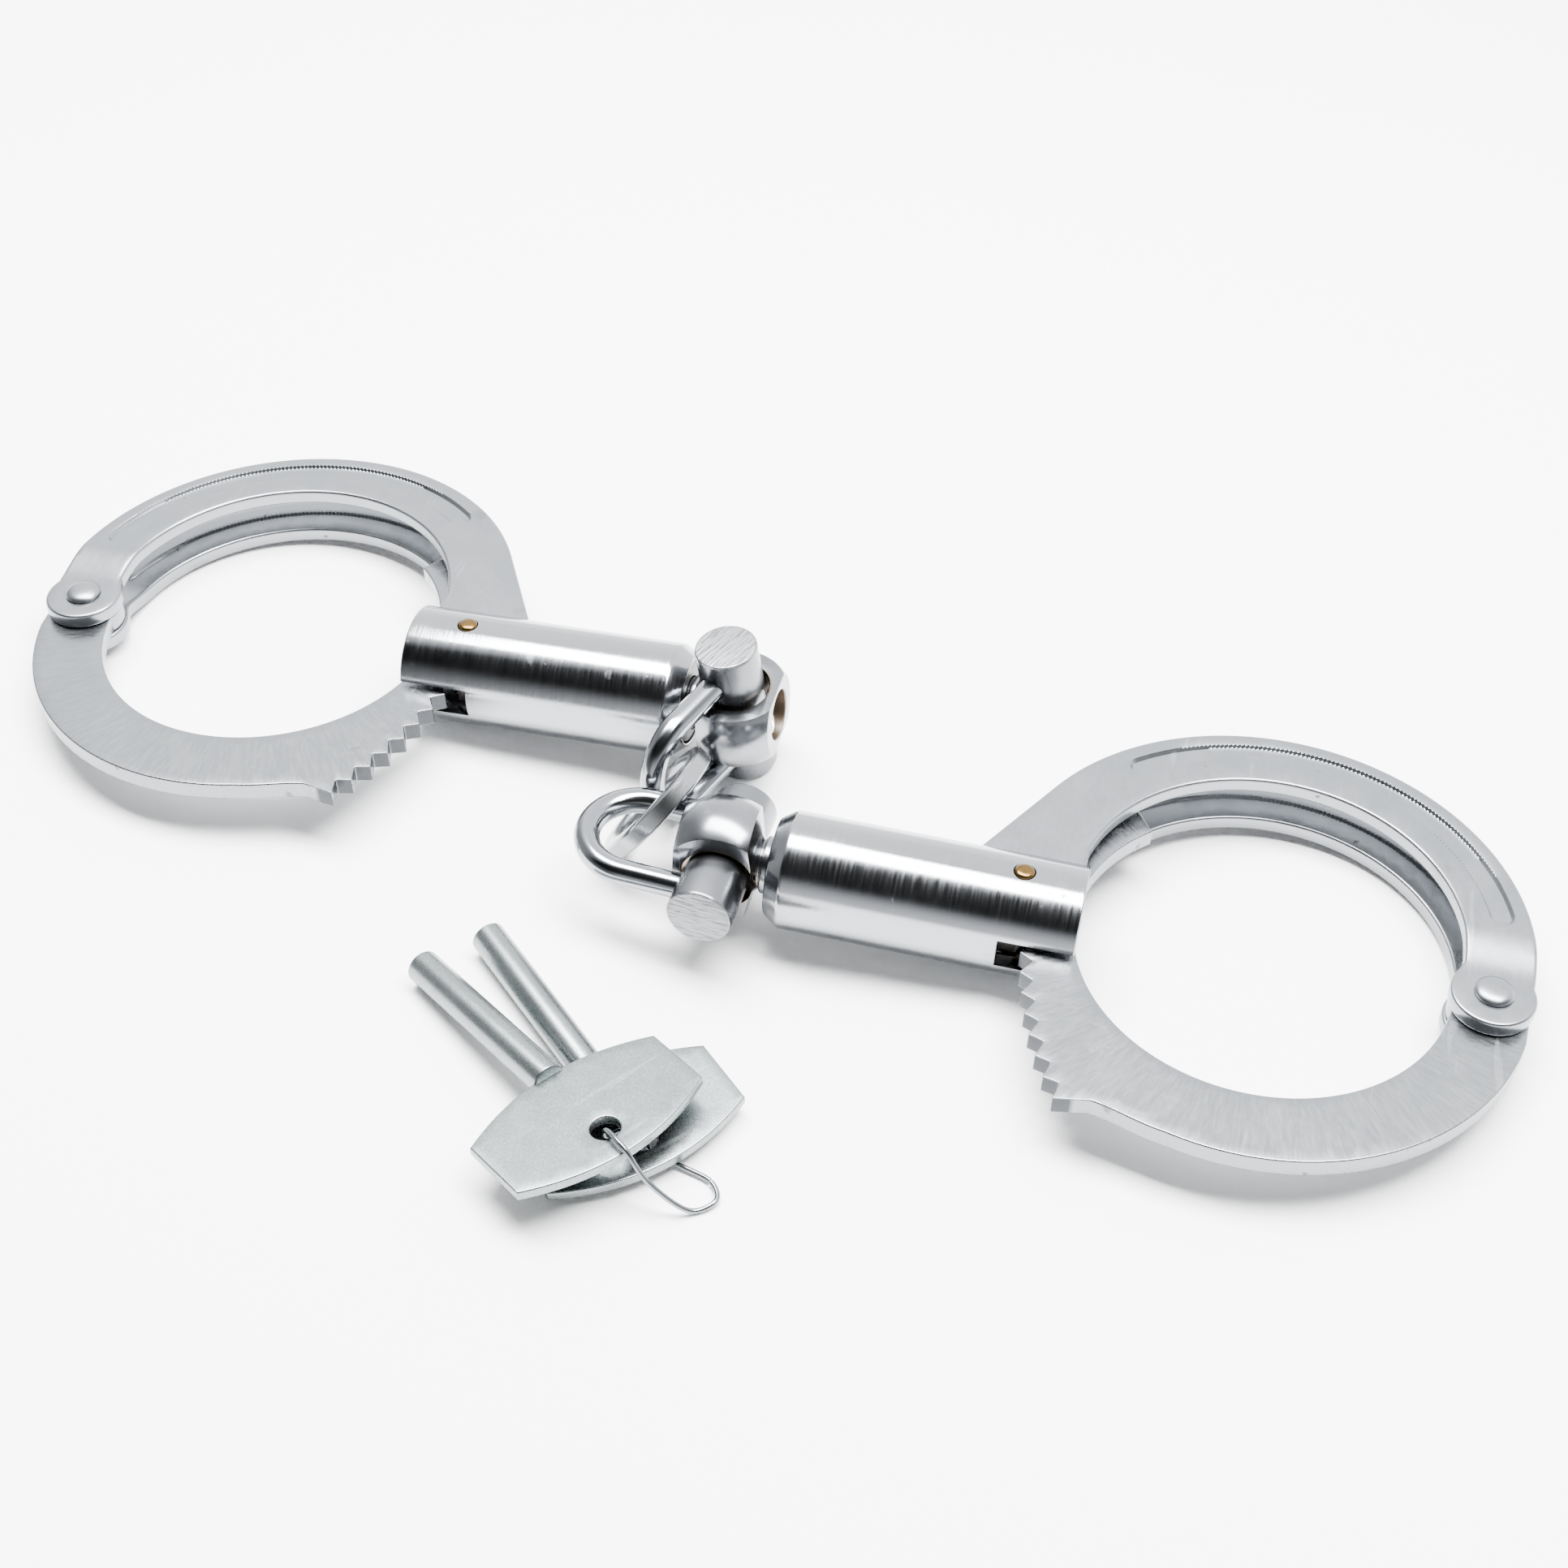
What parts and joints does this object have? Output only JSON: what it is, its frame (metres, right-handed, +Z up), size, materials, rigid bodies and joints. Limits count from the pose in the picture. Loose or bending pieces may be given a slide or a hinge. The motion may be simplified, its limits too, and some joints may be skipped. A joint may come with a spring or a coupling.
{
  "type": "handcuffs",
  "caption": "Swing-through handcuffs with tubular screw locks on a short swivel chain, and screw keys on a wire ring.",
  "frame": {"origin": "middle of the laid-out set's footprint, on the surface it lies on", "axes": "+Z up from the surface, +X from the left cuff to the right cuff, +Y away from the keys"},
  "size_m": [0.2588, 0.1758, 0.0284],
  "materials": {
    "satin_chrome": "satin chrome, brushed along the barrel",
    "polished_chrome": "chrome plate, lightly scuffed",
    "brass": "dull brass",
    "inner_steel": "plain oiled steel",
    "spring_steel": "spring steel",
    "zinc_plate": "bright zinc plate",
    "zinc_wire": "bright wire"
  },
  "bodies": {
    "left_cuff": {"left_lock_barrel": "satin_chrome", "left_cheek_upper": "satin_chrome", "left_cheek_lower": "satin_chrome", "left_hinge_rivet": "satin_chrome", "left_dowel_upper": "brass", "left_dowel_lower": "brass", "left_bolt_spring": "spring_steel", "left_end_gland": "inner_steel"},
    "left_bow": {"left_bow": "polished_chrome"},
    "left_bolt": {"left_lock_bolt": "inner_steel"},
    "left_swivel": {"left_swivel": "polished_chrome"},
    "left_shackle": {"left_cross_pin": "satin_chrome", "left_bail": "polished_chrome"},
    "chain_link": {"chain_link": "satin_chrome"},
    "right_shackle": {"right_cross_pin": "satin_chrome", "right_bail": "polished_chrome"},
    "right_swivel": {"right_swivel": "polished_chrome"},
    "right_cuff": {"right_lock_barrel": "satin_chrome", "right_cheek_upper": "satin_chrome", "right_cheek_lower": "satin_chrome", "right_hinge_rivet": "satin_chrome", "right_dowel_upper": "brass", "right_dowel_lower": "brass", "right_bolt_spring": "spring_steel", "right_end_gland": "inner_steel"},
    "right_bow": {"right_bow": "polished_chrome"},
    "right_bolt": {"right_lock_bolt": "inner_steel"},
    "key_b": {"key_b_shank": "zinc_plate", "key_b_plate": "zinc_plate"},
    "key_a": {"key_a_shank": "zinc_plate", "key_a_plate": "zinc_plate"},
    "key_ring": {"key_ring": "zinc_wire"}
  },
  "joints": [
    {"name": "left_bow_swing", "type": "hinge", "parent": "left_cuff", "child": "left_bow", "pos_m": [-0.12168, 0.04853, 0.00669], "axis": [-0.0414, 0.0389, 0.9984], "continuous": true},
    {"name": "left_bolt_slide", "type": "slide", "parent": "left_cuff", "child": "left_bolt", "axis": [0.961, -0.2721, 0.0505], "range_m": [0, 0.0026], "stiffness_N_per_m": 800, "springref_m": -0.004, "deforming": ["left_bolt_spring"]},
    {"name": "left_swivel_turn", "type": "hinge", "parent": "left_cuff", "child": "left_swivel", "pos_m": [-0.00042, 0.01524, 0.01302], "axis": [0.961, -0.2721, 0.0505], "continuous": true},
    {"name": "left_shackle_swing", "type": "hinge", "parent": "left_swivel", "child": "left_shackle", "pos_m": [-0.00046, 0.01523, 0.01332], "axis": [-0.1217, -0.0264, 0.9922], "range_deg": [-15, 100]},
    {"name": "link_tilt", "type": "hinge", "parent": "left_shackle", "child": "chain_link", "pos_m": [-0.01453, -0.00359, 0.0111], "axis": [-0.1217, -0.0264, 0.9922], "range_deg": [-6, 15]},
    {"name": "right_shackle_tilt", "type": "hinge", "parent": "chain_link", "child": "right_shackle", "pos_m": [-0.02482, -0.01467, 0.01418], "axis": [-0.2772, -0.9604, 0.029], "range_deg": [-15, 4]},
    {"name": "right_shackle_swing", "type": "hinge", "parent": "right_shackle", "child": "right_swivel", "pos_m": [-0.00218, -0.02124, 0.01303], "axis": [-0.2772, -0.9604, 0.029], "range_deg": [-40, 90]},
    {"name": "right_swivel_turn", "type": "hinge", "parent": "right_swivel", "child": "right_cuff", "pos_m": [-0.0021, -0.02095, 0.01302], "axis": [-0.9741, 0.2204, 0.0505], "continuous": true},
    {"name": "right_bow_swing", "type": "hinge", "parent": "right_cuff", "child": "right_bow", "pos_m": [0.12033, -0.04967, 0.00669], "axis": [-0.055, -0.0143, -0.9984], "continuous": true},
    {"name": "right_bolt_slide", "type": "slide", "parent": "right_cuff", "child": "right_bolt", "axis": [-0.9741, 0.2204, 0.0505], "range_m": [0, 0.0026], "stiffness_N_per_m": 800, "springref_m": -0.004, "deforming": ["right_bolt_spring"]},
    {"name": "key_lift", "type": "slide", "parent": "left_cuff", "child": "key_b", "axis": [0, 0, 1], "range_m": [0, 0.06]},
    {"name": "key_swing", "type": "hinge", "parent": "key_b", "child": "key_a", "pos_m": [-0.01954, -0.07535, 0.00868], "axis": [0, 0, 1], "range_deg": [0, 28]},
    {"name": "key_ring_swing", "type": "hinge", "parent": "key_b", "child": "key_ring", "pos_m": [-0.01685, -0.074, 0.00583], "axis": [0.8936, 0.4489, 0], "range_deg": [-10, 1]}
  ]
}
